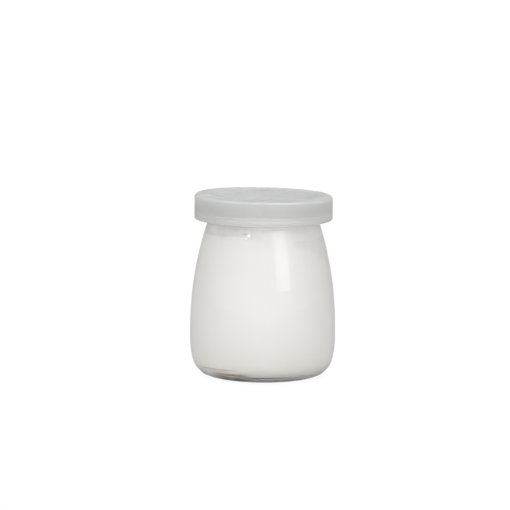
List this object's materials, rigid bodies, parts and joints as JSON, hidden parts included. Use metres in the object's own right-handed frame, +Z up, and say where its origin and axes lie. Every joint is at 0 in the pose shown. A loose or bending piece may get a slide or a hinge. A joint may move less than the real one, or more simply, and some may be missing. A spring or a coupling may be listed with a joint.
{
  "type": "glass yogurt jar",
  "caption": "Small round-shouldered glass jar filled with plain white yogurt to just under its neck, closed with a translucent snap cap that has a dished top.",
  "frame": {"origin": "centre of the jar's bearing ring, on the surface it stands on", "axes": "+Z up along the axis that every piece is turned about, from the bearing ring to the cap"},
  "size_m": [0.0614, 0.0614, 0.0769],
  "materials": {
    "clear_glass": "clear pressed soda-lime glass with a faint green cast, smooth, slightly wavy inside, stippled on the bearing ring",
    "yogurt": "smooth set plain yogurt, off-white, faintly moist sheen",
    "cap_plastic": "natural milky translucent soft plastic, satin"
  },
  "bodies": {
    "root": {"glass_jar": "clear_glass", "yogurt": "yogurt", "snap_cap": "cap_plastic"}
  },
  "joints": []
}
